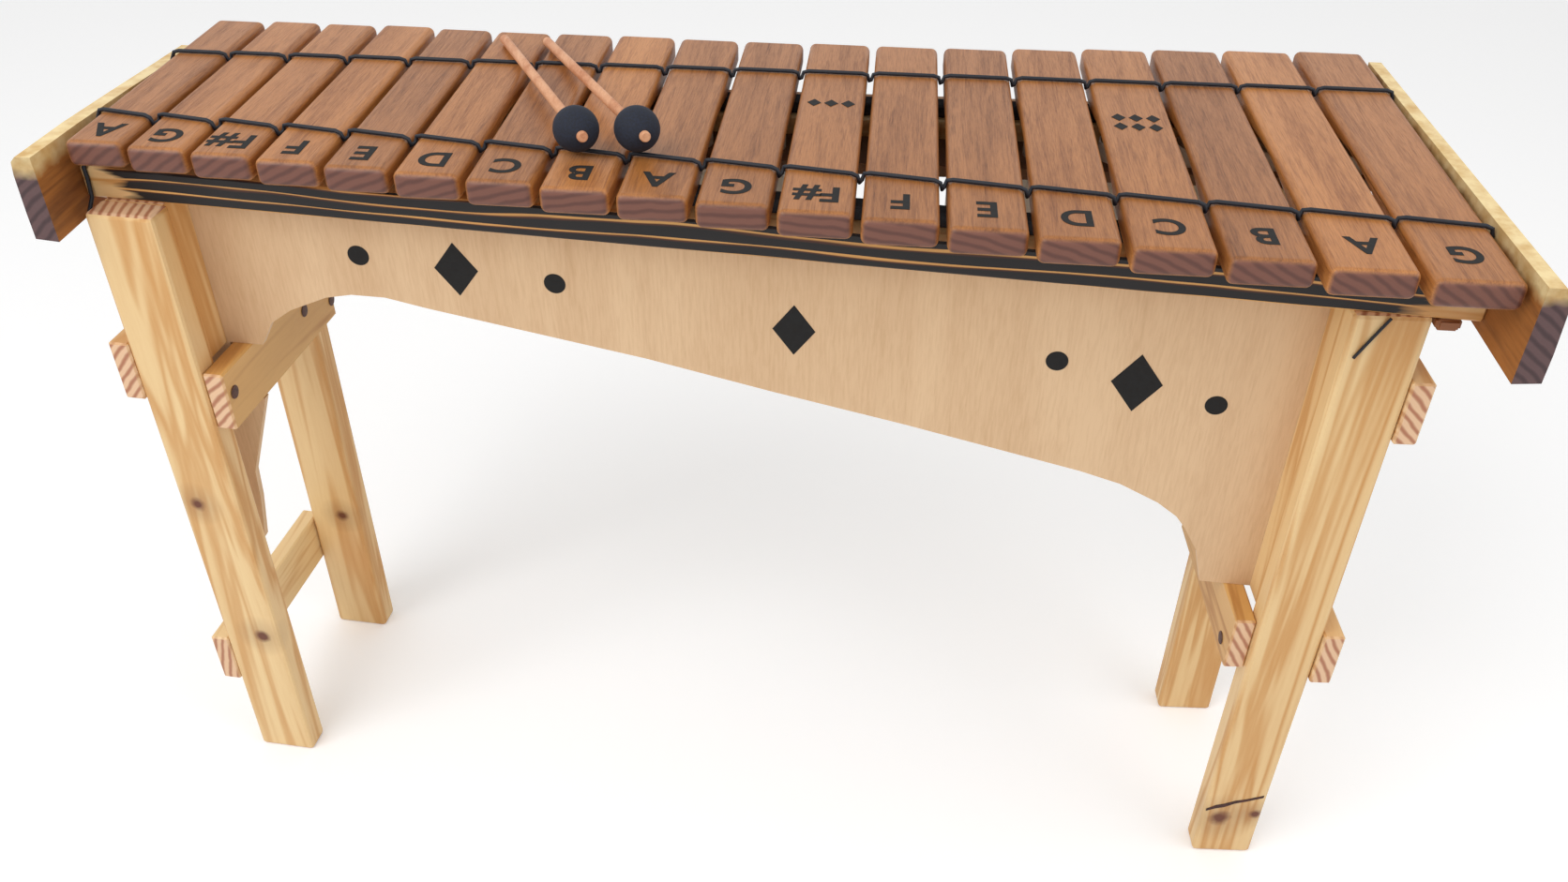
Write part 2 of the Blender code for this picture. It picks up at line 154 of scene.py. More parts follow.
def noise(tree, vector, scale, detail, distortion=0.0, roughness=0.55):
    node = addNode(tree, "ShaderNodeTexNoise")
    setInputs(node, {
        "Scale": scale, "Detail": detail, "Distortion": distortion, "Roughness": roughness,
    })
    link(tree, vector, node.inputs["Vector"])
    return node.outputs[0]


def rangeNode(tree, value, low, high, first=0.0, last=1.0):
    node = addNode(tree, "ShaderNodeMapRange")
    link(tree, value, node.inputs["Value"])
    setInputs(node, {"From Min": low, "From Max": high, "To Min": first, "To Max": last})
    return node.outputs[0]


def grainGroup():
    # Growth rings as bent bands, fine pores drawn out along the grain, and slow colour drift
    tree, given, result = newGroup(
        "woodGrain",
        [
            ("Place", "NodeSocketVector", None), ("Light", "NodeSocketColor", None),
            ("Dark", "NodeSocketColor", None), ("Rings", "NodeSocketFloat", 1.0),
            ("Ring Strength", "NodeSocketFloat", 0.5), ("Pores", "NodeSocketFloat", 0.3),
        ],
        [("Color", "NodeSocketColor"), ("Height", "NodeSocketFloat"), ("Mask", "NodeSocketFloat")],
    )
    ringCount = 34.0
    place = given.outputs["Place"]
    drift = noise(tree, place, 0.55, 2.0)
    wave = noise(tree, place, 1.3, 3.0, 0.6)
    spread = mathNode(tree, "MULTIPLY", wave, given.outputs["Rings"])
    turns = mathNode(tree, "MULTIPLY", spread, ringCount)
    ring = rangeNode(tree, mathNode(tree, "SINE", turns), -0.6, 1.0)
    ring = mathNode(tree, "POWER", ring, 2.2)
    fine = noise(tree, place, 14.0, 5.0, 0.2, 0.7)
    pores = rangeNode(tree, fine, 0.42, 0.68)
    ringPart = mathNode(tree, "MULTIPLY", ring, given.outputs["Ring Strength"])
    porePart = mathNode(tree, "MULTIPLY", pores, given.outputs["Pores"])
    driftPart = rangeNode(tree, drift, 0.3, 0.7, -0.14, 0.3)
    total = mathNode(tree, "ADD", mathNode(tree, "ADD", ringPart, porePart), driftPart)
    factor = mathNode(tree, "MINIMUM", mathNode(tree, "MAXIMUM", total, 0.0), 1.0)
    color = mixColor(tree, factor, given.outputs["Light"], given.outputs["Dark"])
    link(tree, color, result.inputs["Color"])
    link(tree, fine, result.inputs["Height"])
    link(tree, factor, result.inputs["Mask"])
    return tree


def knotGroup():
    # A dark round heart with a paler halo, at one place on a piece
    tree, given, result = newGroup(
        "knot",
        [
            ("Place", "NodeSocketVector", None), ("Centre", "NodeSocketVector", None),
            ("Radius", "NodeSocketFloat", 0.01), ("Base", "NodeSocketColor", None),
            ("Heart", "NodeSocketColor", None),
        ],
        [("Color", "NodeSocketColor"), ("Mask", "NodeSocketFloat")],
    )
    away = addNode(tree, "ShaderNodeVectorMath", operation="DISTANCE")
    link(tree, given.outputs["Place"], away.inputs[0])
    link(tree, given.outputs["Centre"], away.inputs[1])
    rough = noise(tree, given.outputs["Place"], 60.0, 3.0)
    share = mathNode(tree, "DIVIDE", away.outputs["Value"], given.outputs["Radius"])
    share = mathNode(tree, "ADD", share, mathNode(tree, "MULTIPLY", rough, 0.7))
    heart = rangeNode(tree, share, 1.5, 0.7)
    halo = rangeNode(tree, share, 3.2, 1.2, 0.0, 0.28)
    mask = mathNode(tree, "MAXIMUM", heart, halo)
    color = mixColor(tree, mask, given.outputs["Base"], given.outputs["Heart"])
    link(tree, color, result.inputs["Color"])
    link(tree, mask, result.inputs["Mask"])
    return tree


grain = grainGroup()
knot = knotGroup()
knotHeart = tone(104, 52, 26)

# Scales that draw the grain out along one axis of a piece
alongX = (1.1, 16.0, 16.0)
alongY = (16.0, 1.1, 16.0)
alongZ = (16.0, 16.0, 1.1)


def startMaterial(name, roughness):
    material = bpy.data.materials.new(name)
    material.use_nodes = True
    tree = material.node_tree
    shader = tree.nodes["Principled BSDF"]
    shader.inputs["Roughness"].default_value = roughness
    return material, tree, shader


def addBump(tree, shader, height, strength, distance=0.001):
    bump = addNode(tree, "ShaderNodeBump", 300, -300)
    setInputs(bump, {"Strength": strength, "Distance": distance})
    link(tree, height, bump.inputs["Height"])
    link(tree, bump.outputs["Normal"], shader.inputs["Normal"])


def grainNodes(tree, wood, stretch, offset):
    # A piece's own coordinates, the same drawn out along the grain, and the grain on them
    coords = addNode(tree, "ShaderNodeTexCoord", -1400)
    mapping = addNode(tree, "ShaderNodeMapping", -1200)
    setInputs(mapping, {"Scale": stretch, "Location": offset})
    link(tree, coords.outputs["Object"], mapping.inputs["Vector"])
    body = addNode(tree, "ShaderNodeGroup", -900, node_tree=grain)
    setInputs(body, {
        "Light": wood["light"], "Dark": wood["dark"], "Rings": wood["rings"],
        "Ring Strength": wood["ringStrength"], "Pores": wood["pores"],
    })
    link(tree, mapping.outputs["Vector"], body.inputs["Place"])
    return coords.outputs["Object"], mapping.outputs["Vector"], body


def addKnot(tree, place, color, centre, radius):
    spot = addNode(tree, "ShaderNodeGroup", -400, node_tree=knot)
    setInputs(spot, {"Centre": centre, "Radius": radius, "Heart": knotHeart})
    link(tree, place, spot.inputs["Place"])
    link(tree, color, spot.inputs["Base"])
    return spot.outputs["Color"]


def addEndGrain(tree, place, color, ends, axis):
    # Year rings where the surface faces along the grain
    facing = addNode(tree, "ShaderNodeNewGeometry", -900, -400)
    size = mathNode(tree, "ABSOLUTE", splitVector(tree, facing.outputs["Normal"], -700, -400)[axis])
    years = addNode(tree, "ShaderNodeTexWave", -700, -600, wave_type="RINGS")
    years.rings_direction = "XYZ"[axis]
    setInputs(years, {"Scale": 34.0, "Distortion": 2.5, "Detail": 2.0})
    link(tree, place, years.inputs["Vector"])
    rings = mixColor(tree, rangeNode(tree, years.outputs[1], 0.35, 0.95), *ends)
    return mixColor(tree, rangeNode(tree, size, 0.55, 0.9), color, rings)


def woodMaterial(name, wood, stretch, offset, knots=(), endAxis=1):
    rough = wood["roughness"]
    material, tree, shader = startMaterial(name, rough)
    place, _, body = grainNodes(tree, wood, stretch, offset)
    color = body.outputs["Color"]
    for centre, radius in knots:
        color = addKnot(tree, place, color, centre, radius)
    if "ends" in wood:
        color = addEndGrain(tree, place, color, wood["ends"], endAxis)
    link(tree, color, shader.inputs["Base Color"])
    sheen = rangeNode(tree, body.outputs["Mask"], 0.0, 1.0, rough, rough + 0.14)
    link(tree, sheen, shader.inputs["Roughness"])
    addBump(tree, shader, body.outputs["Height"], wood["bump"])
    return material


def plainMaterial(name, color, second, roughness, scale=200.0, bump=0.1):
    # Rubber, plastic, paint or metal: two close colours in fine specks
    material, tree, shader = startMaterial(name, roughness)
    coords = addNode(tree, "ShaderNodeTexCoord", -900)
    speck = noise(tree, coords.outputs["Object"], scale, 4.0)
    mixed = mixColor(tree, rangeNode(tree, speck, 0.35, 0.65), color, second)
    link(tree, mixed, shader.inputs["Base Color"])
    sheen = rangeNode(tree, speck, 0.3, 0.7, roughness, roughness + 0.12)
    link(tree, sheen, shader.inputs["Roughness"])
    addBump(tree, shader, speck, bump, 0.0004)
    return material


def putMaterial(node, material):
    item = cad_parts[node]
    if item.material_slots:
        item.material_slots[0].material = material
    else:
        item.data.materials.append(material)


# Making pieces
softAngle = math.radians(38.0)  # edges sharper than this stay crisp


def finishPiece(item, body, replaced=None):
    scene.collection.objects.link(item)
    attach(item, body)
    if replaced:
        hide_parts(replaced)
    return item


def meshPiece(name, bm, material, body, replaced=None, smooth=True):
    bmesh.ops.recalc_face_normals(bm, faces=bm.faces)
    mesh = bpy.data.meshes.new(name)
    bm.to_mesh(mesh)
    bm.free()
    mesh.materials.append(material)
    if smooth:
        mesh.shade_smooth()
        mesh.set_sharp_from_angle(angle=softAngle)
    return finishPiece(bpy.data.objects.new(name, mesh), body, replaced)


def prism(first, second):
    # A closed shape between two outlines that have the same number of points
    bm = bmesh.new()
    near, far = [[bm.verts.new(point) for point in outline] for outline in (first, second)]
    for step in range(len(near)):
        after = (step + 1) % len(near)
        bm.faces.new((near[step], near[after], far[after], far[step]))
    bm.faces.new(near)
    bm.faces.new(far)
    return bm


def turned(profile, sides, place):
    # Turns pairs of radius and height round an axis: radius 0 is a tip, an open end is capped
    bm = bmesh.new()
    rings = []
    for radius, height in profile:
        angles = [2 * math.pi * step / sides for step in range(sides if radius else 1)]
        rings.append([bm.verts.new(place(radius, height, angle)) for angle in angles])
    for first, second in zip(rings, rings[1:]):
        for step in range(sides):
            after = (step + 1) % sides
            if len(first) == 1:
                bm.faces.new((first[0], second[step], second[after]))
            elif len(second) == 1:
                bm.faces.new((first[step], first[after], second[0]))
            else:
                bm.faces.new((first[step], first[after], second[after], second[step]))
    for ring in (rings[0], rings[-1]):
        if len(ring) > 1:
            bm.faces.new(ring)
    return bm


def upright(x=0.0, y=0.0):
    # For turned(): a vertical axis
    return lambda radius, height, angle: (
        x + radius * math.cos(angle), y + radius * math.sin(angle), height)


def straightLine(start, end):
    # A line in plan: gives its y at any x
    (x0, y0), (x1, y1) = start, end
    return lambda x: y0 + (y1 - y0) * (x - x0) / (x1 - x0)


def lozenge(x, y, halfWidth, halfHeight):
    return [(x - halfWidth, y), (x, y - halfHeight), (x + halfWidth, y), (x, y + halfHeight)]


def roundOutline(x, y, radius, sides=32):
    outline = []
    for step in range(sides):
        angle = 2 * math.pi * step / sides
        outline.append((x + radius * math.cos(angle), y + radius * math.sin(angle)))
    return outline


# Paint of the marks and letters: lift is its gap over a bar's top, panelGap over the panel's face
paint = {"thick": 0.0002, "lift": 0.00015, "panelGap": 0.0001}
inkBlack = plainMaterial("stencilBlack", tone(6, 5, 5), tone(16, 13, 12), 0.78)

# Bars
bars = {
    "count": 18, "round": 0.0068, "roundSteps": 5, "roundAngle": math.radians(40.0),
    "archShallow": 0.008, "archDeep": 0.013, "archMargin": 0.016, "archSteps": 24,
    "grain": (64.0, 3.4, 64.0), "grainReach": 40, "colorReach": 14,
    "light": (180, 117, 60), "lightDrift": (1.0, 0.8, 0.5),
    "dark": (110, 60, 25), "darkDrift": (1.0, 0.6, 0.4),
}
barWood = {
    "rings": 0.7, "ringStrength": 0.26, "pores": 0.5, "roughness": 0.36, "bump": 0.3,
    "ends": (tone(116, 72, 58), tone(92, 54, 44)),
}
letters = {
    "names": "A G F# F E D C B A G F# F E D C B A G".split(),
    "size": 0.040, "place": 0.47, "bold": 0.0011,
}
restStrips = {"halfWidth": 0.010}


def stripLine(name, falls):
    # The middle line of a rest strip in plan, from its box; falls where y drops as x grows
    low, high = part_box(name)
    half = restStrips["halfWidth"]
    nearY, farY = low[1] + half, high[1] - half
    if falls:
        return straightLine((low[0], farY), (high[0], nearY))
    return straightLine((low[0], nearY), (high[0], farY))


frontNode = stripLine("front_rest_strip", True)
backNode = stripLine("back_rest_strip", False)


def driftedTone(base, drift, shift):
    return tone(*(value + shift * share for value, share in zip(base, drift)))


def barMaterial(index):
    # Each bar has its own shade and its own stretch of grain
    pick = random.Random(index * 7 + 3)
    shift = pick.uniform(-bars["colorReach"], bars["colorReach"])
    light = driftedTone(bars["light"], bars["lightDrift"], shift)
    dark = driftedTone(bars["dark"], bars["darkDrift"], shift)
    offset = tuple(pick.uniform(0, bars["grainReach"]) for _ in range(3))
    return woodMaterial(
        f"kiaat{index + 1:02d}", {**barWood, "light": light, "dark": dark}, bars["grain"], offset)


def makeBar(index):
    # A side profile with the tuning arch between the two nodes, as wide as the bar
    name = f"bar_{index + 1:02d}"
    low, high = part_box(name)
    x = (low[0] + high[0]) / 2
    share = index / (bars["count"] - 1)
    depth = bars["archShallow"] + (bars["archDeep"] - bars["archShallow"]) * share
    start = frontNode(x) + bars["archMargin"]
    stop = backNode(x) - bars["archMargin"]
    profile = [(low[1], high[2]), (low[1], low[2])]
    for step in range(bars["archSteps"] + 1):
        turn = step / bars["archSteps"]
        profile.append((start + (stop - start) * turn, low[2] + depth * math.sin(math.pi * turn)))
    profile += [(high[1], low[2]), (high[1], high[2])]
    left, right = [[(side, y, z) for y, z in profile] for side in (low[0], high[0])]
    wood = barMaterial(index)
    bar = meshPiece(f"marimbaBar{index + 1:02d}", prism(left, right), wood, "stand", name)
    bevel = bar.modifiers.new("softened arrises", "BEVEL")
    bevel.width = bars["round"]
    bevel.segments = bars["roundSteps"]
    bevel.limit_method = "ANGLE"
    bevel.angle_limit = bars["roundAngle"]
    bevel.harden_normals = True
    return x, low, high


def makeLetter(index, x, low, high):
    # The letters read from the player's side, so they are turned half round
    curve = bpy.data.curves.new(f"noteLetter{index + 1:02d}", "FONT")
    curve.body = letters["names"][index]
    curve.size = letters["size"]
    curve.align_x = "CENTER"
    curve.align_y = "CENTER"
    curve.extrude = paint["thick"] / 2
    curve.offset = letters["bold"]
    curve.materials.append(inkBlack)
    letter = bpy.data.objects.new(f"noteLetter{index + 1:02d}", curve)
    y = low[1] + (frontNode(x) - low[1]) * letters["place"]
    letter.location = (x, y, high[2] + paint["lift"])
    letter.rotation_euler = (0.0, 0.0, math.pi)
    finishPiece(letter, "stand")


barPlaces = []
for index in range(bars["count"]):
    x, low, high = makeBar(index)
    makeLetter(index, x, low, high)
    barPlaces.append((x, low, high))

# Two bars carry a small geometric mark: rows of plain lozenges
barMarks = {
    "rows": {10: 1, 14: 2}, "count": 3, "fromNode": 0.16, "across": 0.017, "along": 0.022,
    "halfWidth": 0.007, "halfHeight": 0.009,
}


def barLozenge(name, x, y, top):
    outline = lozenge(x, y, barMarks["halfWidth"], barMarks["halfHeight"])
    z = top + paint["lift"]
    lower = [(px, py, z) for px, py in outline]
    upper = [(px, py, z + paint["thick"]) for px, py in outline]
    meshPiece(name, prism(lower, upper), inkBlack, "stand", smooth=False)


for index, rows in barMarks["rows"].items():
    x, low, high = barPlaces[index]
    for row in range(rows):
        y = frontNode(x) + barMarks["fromNode"] + row * barMarks["along"]
        for step in range(barMarks["count"]):
            across = x + (step - 1) * barMarks["across"]
            barLozenge(f"barLozenge{index + 1}_{row}_{step}", across, y, high[2])
print("stage: bars done")

# Cords
cords = {
    "radius": 0.002, "tailRadius": 0.0014, "drop": 0.0055, "slant": 0.006, "topSlant": 0.7,
    "gap": 0.0003, "round": 0.005, "cornerGap": 0.0009, "apart": 0.001, "boardGap": 0.0075,
    "railGap": 0.0008, "railRise": 0.003,
}
cordRubber = plainMaterial("cordRubber", tone(8, 11, 20), tone(18, 23, 36), 0.55, 400.0, 0.3)
railDepth = 0.069


def cordPoints(node, slant, leftEnd, rightEnd):
    # Over each bar at its node, and down into each gap between bars
    radius, margin = cords["radius"], cords["round"]
    corner = margin + radius + cords["cornerGap"]
    lift = corner * math.sin(math.pi / 4) - margin
    overSlant = slant * cords["topSlant"]
    points = list(leftEnd)
    for index, (x, low, high) in enumerate(barPlaces):
        y = node(x)
        top = high[2]
        over = top + radius + cords["gap"]
        if index:
            before = (barPlaces[index - 1][2][0] + low[0]) / 2
            points.append((before + cords["apart"], y + slant, top - cords["drop"]))
        points.append((low[0] - lift, y + slant, top + lift))
        points.append((low[0] + margin, y + overSlant, over))
        points.append((high[0] - margin, y - overSlant, over))
        points.append((high[0] + lift, y - slant, top + lift))
        if index < len(barPlaces) - 1:
            after = (high[0] + barPlaces[index + 1][1][0]) / 2
            points.append((after - cords["apart"], y - slant, top - cords["drop"]))
    return points + list(rightEnd)


def makeCord(name, node, points, radius):
    curve = bpy.data.curves.new(name, "CURVE")
    curve.dimensions = "3D"
    curve.bevel_depth = radius
    curve.bevel_resolution = 4
    curve.use_fill_caps = True
    spline = curve.splines.new("POLY")
    spline.points.add(len(points) - 1)
    for target, point in zip(spline.points, points):
        target.co = (*point, 1.0)
    spline.use_smooth = True
    curve.materials.append(cordRubber)
    cord = bpy.data.objects.new(name, curve)
    return finishPiece(cord, "stand", node)


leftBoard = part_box("end_board_left")
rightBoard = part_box("end_board_right")
railLow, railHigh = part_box("front_rail")
railTop = railHigh[2]
overRail = railTop + cords["railRise"]
barTop = barPlaces[0][2][2]
firstX, lastX = barPlaces[0][0], barPlaces[-1][0]
leftX = leftBoard[1][0] + cords["boardGap"]
rightX = (rightBoard[0][0] + barPlaces[-1][2][0]) / 2


def rightEnd(y):
    # Down past the last bar's edge to just over the rail
    return [(rightX, y, barTop - 0.006), (rightX, y, overRail)]


faceY = railHigh[1] - railDepth - cords["railGap"] - cords["radius"]
firstY = frontNode(firstX) + cords["slant"]
frontLeft = [
    (leftX, faceY - 0.016, 0.7450), (leftX, faceY - 0.002, 0.7580), (leftX, faceY, 0.7750),
    (leftX, faceY, railTop), (leftX, faceY + 0.003, railTop + 0.004),
    (leftX, firstY - 0.008, 0.7990), (leftX, firstY, 0.8150),
]
frontRight = rightEnd(frontNode(lastX) - cords["slant"])
frontRoute = cordPoints(frontNode, cords["slant"], frontLeft, frontRight)
makeCord("frontHoldingCord", "front_cord", frontRoute, cords["radius"])
firstY = backNode(firstX)
backLeft = [(leftX, firstY, overRail), (leftX, firstY, 0.8150)]
backRoute = cordPoints(backNode, 0.0, backLeft, rightEnd(backNode(lastX)))
makeCord("backHoldingCord", "back_cord", backRoute, cords["radius"])

# The front cord's end comes out under the rail and lies along the right front leg's face
centreShift = 0.052773  # in y, from the plan measured in the photo to the middle of the object's box
rightLeg = {"x": 0.5733, "face": centreShift - 0.237, "slant": math.tan(math.radians(2.3))}
tail = [
    (0.5693, rightLeg["face"] - 0.0025, 0.7535), (0.558, rightLeg["face"] - 0.0026, 0.732),
    (0.5475, rightLeg["face"] - 0.0024, 0.711),
]
makeCord("frontCordTail", None, tail, cords["tailRadius"])
print("stage: cords done")

# Stand: pine legs and rails, cross rails with end grain
pine = {
    "light": tone(236, 204, 150), "dark": tone(203, 147, 82), "rings": 0.75, "ringStrength": 0.66,
    "pores": 0.12, "roughness": 0.38, "bump": 0.08, "ends": (tone(228, 188, 150), tone(176, 116, 84)),
}
varnishedPine = {**pine, "light": tone(216, 168, 100), "dark": tone(178, 122, 64)}
legGrainStep = (3.7, 5.1, 0.4)
crossGrainStep = (2.3, 4.1, 1.7)
legKnots = {
    "leg_front_left": [((-0.617, -0.123, 0.40), 0.011), ((-0.590, -0.125, 0.20), 0.012)],
    "leg_back_left": [((-0.575, 0.103, 0.20), 0.011)],
    "leg_front_right": [((0.560, -0.184, 0.062), 0.016), ((0.600, -0.183, 0.072), 0.010)],
    "leg_back_right": [],
}
crossNames = [
    "cross_rail_left_upper_inner", "cross_rail_left_upper_outer", "cross_rail_left_lower_outer",
    "cross_rail_right_upper_outer", "cross_rail_right_lower_outer", "cross_rail_right_lower_inner",
]


def times(values, count):
    return tuple(value * count for value in values)


for count, (node, knots) in enumerate(legKnots.items()):
    offset = times(legGrainStep, count)
    putMaterial(node, woodMaterial(f"pineLeg{count}", pine, alongZ, offset, knots, endAxis=2))
for count, node in enumerate(crossNames):
    wood = varnishedPine if node.endswith("inner") else pine
    putMaterial(node, woodMaterial(f"pineCross{count}", wood, alongY, times(crossGrainStep, count)))
putMaterial("back_rail", woodMaterial("pineBackRail", pine, alongX, (2.0, 7.0, 3.0), endAxis=0))

# A small hardwood block under the front rail's right end
block = {
    "low": (0.6095, -0.1865, 0.7425), "high": (0.6315, -0.1675, 0.7551), "round": 0.003, "roundSteps": 3,
}
blockWood = {
    "light": tone(150, 92, 50), "dark": tone(96, 52, 28), "rings": 1.0, "ringStrength": 0.5,
    "pores": 0.3, "roughness": 0.45, "bump": 0.15,
}


def railBlock(low, high):
    bm = bmesh.new()
    bmesh.ops.create_cube(bm, size=1.0)
    for vert in bm.verts:
        for axis in range(3):
            vert.co[axis] = low[axis] if vert.co[axis] < 0 else high[axis]
    bmesh.ops.bevel(
        bm, geom=bm.edges[:], offset=block["round"], segments=block["roundSteps"], affect="EDGES")
    wood = woodMaterial("blockWood", blockWood, alongX, (1.0, 2.0, 3.0))
    meshPiece("railBlock", bm, wood, "stand")


railBlock(block["low"], block["high"])

# A dark seam of bark across the right front leg's face near its foot, as x and z along its two edges
bark = {
    "upper": [
        (0.541, 0.079), (0.551, 0.086), (0.560, 0.089), (0.572, 0.095), (0.583, 0.098), (0.603, 0.106),
    ],
    "lower": [
        (0.603, 0.102), (0.584, 0.094), (0.572, 0.090), (0.561, 0.083), (0.551, 0.080), (0.541, 0.075),
    ],
    "gap": 0.0001, "thick": 0.0003,
}
barkBrown = plainMaterial("barkBrown", tone(74, 34, 26), tone(46, 22, 18), 0.6, 300.0, 0.3)


def barkLine():
    near = []
    far = []
    for x, z in bark["upper"] + bark["lower"]:
        y = rightLeg["face"] - bark["gap"] + (x - rightLeg["x"]) * rightLeg["slant"]
        near.append((x, y - bark["thick"], z))
        far.append((x, y, z))
    meshPiece("barkLine", prism(near, far), barkBrown, "stand", smooth=False)


barkLine()

# Front rail: the bare lengths at its ends are pairs of where the scorch starts and where it is full
burntRail = {
    "bands": 2.7, "bandWander": 0.16, "edgeWander": 0.035, "leftBare": (0.030, 0.045),
    "rightBare": (0.030, 0.050), "black": tone(16, 10, 10), "brown": tone(92, 48, 24),
    "honey": (tone(236, 186, 110), tone(190, 122, 60)),
}
railPine = {**pine, "ringStrength": 0.78, "pores": 0.16}


def burntRailMaterial(low, high):
    # Scorched front face: black bands with thin honey lines that wander along the rail
    material, tree, shader = startMaterial("burntRail", 0.5)
    place, grainPlace, body = grainNodes(tree, railPine, alongX, (0.0, 0.0, 0.0))
    parts = splitVector(tree, place, -1200, -300)
    slow = noise(tree, grainPlace, 1.6, 2.0)
    wander = burntRail["bandWander"]
    height = rangeNode(tree, parts[2], low[2], high[2])
    bent = mathNode(tree, "ADD", height, rangeNode(tree, slow, 0.3, 0.7, -wander, wander))
    bands = mathNode(tree, "FRACT", mathNode(tree, "MULTIPLY", bent, burntRail["bands"]))
    thick = rangeNode(tree, noise(tree, grainPlace, 3.1, 2.0), 0.35, 0.7, 0.90, 0.74)
    inBand = mathNode(tree, "SUBTRACT", bands, thick)
    black = mixColor(tree, rangeNode(tree, inBand, -0.16, 0.0), burntRail["black"], burntRail["brown"])
    honey = mixColor(tree, slow, *burntRail["honey"])
    scorched = mixColor(tree, rangeNode(tree, inBand, -0.03, 0.05), black, honey)
    facing = addNode(tree, "ShaderNodeNewGeometry", -1200, -600)
    sides = splitVector(tree, facing.outputs["Normal"], -1000, -600)
    front = rangeNode(tree, sides[1], -0.35, -0.6)
    edge = burntRail["edgeWander"]
    ragged = rangeNode(tree, noise(tree, grainPlace, 2.4, 4.0), 0.3, 0.7, -edge, edge)
    along = mathNode(tree, "ADD", parts[0], ragged)
    leftSide = rangeNode(tree, along, *(low[0] + bare for bare in burntRail["leftBare"]))
    rightSide = rangeNode(tree, along, *(high[0] - bare for bare in burntRail["rightBare"]))
    mask = mathNode(tree, "MULTIPLY", front, mathNode(tree, "MULTIPLY", leftSide, rightSide))
    link(tree, mixColor(tree, mask, body.outputs["Color"], scorched), shader.inputs["Base Color"])
    link(tree, rangeNode(tree, mask, 0.0, 1.0, 0.4, 0.58), shader.inputs["Roughness"])
    addBump(tree, shader, body.outputs["Height"], 0.15)
    return material


putMaterial("front_rail", burntRailMaterial(railLow, railHigh))

# End boards: golden-brown heart inside, pale sapwood along the live top edge
boardWood = {
    "light": tone(166, 104, 48), "dark": tone(96, 54, 26), "rings": 0.7, "ringStrength": 0.6,
    "pores": 0.35, "roughness": 0.42, "bump": 0.2, "ends": (tone(92, 66, 66), tone(64, 42, 44)),
}
sapwood = {
    "colors": (tone(240, 216, 160), tone(208, 166, 96)),
    "starts": 0.022, "full": 0.012, "wander": 0.006, "sideStrength": 0.75,
}


def boardMaterial(name, top):
    material = woodMaterial(name, boardWood, alongY, (3.0, 1.0, 5.0))
    tree = material.node_tree
    shader = tree.nodes["Principled BSDF"]
    heartwood = shader.inputs["Base Color"].links[0].from_socket
    place = addNode(tree, "ShaderNodeTexCoord", -1400, 400).outputs["Object"]
    parts = splitVector(tree, place, -1200, 400)
    facing = addNode(tree, "ShaderNodeNewGeometry", -1200, 700)
    sides = splitVector(tree, facing.outputs["Normal"], -1000, 700)
    wander = sapwood["wander"]
    edge = rangeNode(tree, noise(tree, place, 24.0, 3.0), 0.3, 0.7, -wander, wander)
    height = mathNode(tree, "ADD", parts[2], edge)
    topFace = rangeNode(tree, sides[2], 0.3, 0.6)
    crown = rangeNode(tree, height, top - sapwood["starts"], top - sapwood["full"])
    crown = mathNode(tree, "MULTIPLY", crown, sapwood["sideStrength"])
    mask = mathNode(tree, "MAXIMUM", topFace, crown)
    streak = noise(tree, place, 45.0, 4.0)
    sap = mixColor(tree, rangeNode(tree, streak, 0.4, 0.7), *sapwood["colors"])
    link(tree, mixColor(tree, mask, heartwood, sap), shader.inputs["Base Color"])
    return material


putMaterial("end_board_left", boardMaterial("liveBoardLeft", leftBoard[1][2]))
putMaterial("end_board_right", boardMaterial("liveBoardRight", rightBoard[1][2]))

# Front panel, resonator board and rest strips
plywood = {
    "light": tone(222, 188, 148), "dark": tone(190, 148, 106), "rings": 0.25, "ringStrength": 0.3,
    "pores": 0.32, "roughness": 0.5, "bump": 0.05,
}
stainedPly = {**plywood, "light": tone(112, 80, 52), "dark": tone(78, 54, 34), "roughness": 0.6}
panelFinish = woodMaterial("plywoodFace", plywood, (26.0, 26.0, 2.2), (1.0, 2.0, 3.0))
putMaterial("front_panel", panelFinish)
boardFinish = woodMaterial("stainedPly", stainedPly, (2.2, 26.0, 26.0), (4.0, 2.0, 3.0))
putMaterial("resonator_board", boardFinish)
foam = plainMaterial("restFoam", tone(40, 40, 44), tone(58, 58, 62), 0.85, 900.0, 0.5)
putMaterial("front_rest_strip", foam)
putMaterial("back_rest_strip", foam)
print("stage: stand finished")

# Resonators: plastic pipe with a soft rim and a rounded stop
tubes = {
    "wall": 0.002, "floor": 0.003, "sides": 48, "rim": 0.0007, "rimTurn": 0.3, "footRound": 0.003,
    "footTurn": 0.0008,
}
pipePlastic = plainMaterial("pipePlastic", tone(214, 213, 206), tone(206, 205, 198), 0.36, 40.0, 0.01)


def makeTube(index):
    name = f"resonator_{index + 1:02d}"
    low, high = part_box(name)
    x, y = (low[0] + high[0]) / 2, (low[1] + high[1]) / 2
    outer = (high[0] - low[0]) / 2
    inner = outer - tubes["wall"]
    floor = low[2] + tubes["floor"]
    rim, rimTurn = tubes["rim"], tubes["rim"] * tubes["rimTurn"]
    foot, footTurn = tubes["footRound"], tubes["footTurn"]
    profile = [
        (0.0, low[2]), (outer - foot, low[2]), (outer - footTurn, low[2] + footTurn),
        (outer, low[2] + foot), (outer, high[2] - rim), (outer - rimTurn, high[2] - rimTurn),
        (outer - rim, high[2]), (inner + rim, high[2]), (inner, high[2] - rim), (inner, floor),
        (0.0, floor),
    ]
    tube = turned(profile, tubes["sides"], upright(x, y))
    meshPiece(f"resonatorTube{index + 1:02d}", tube, pipePlastic, "stand", name)


for index in range(bars["count"]):
    makeTube(index)
print("stage: resonators done")

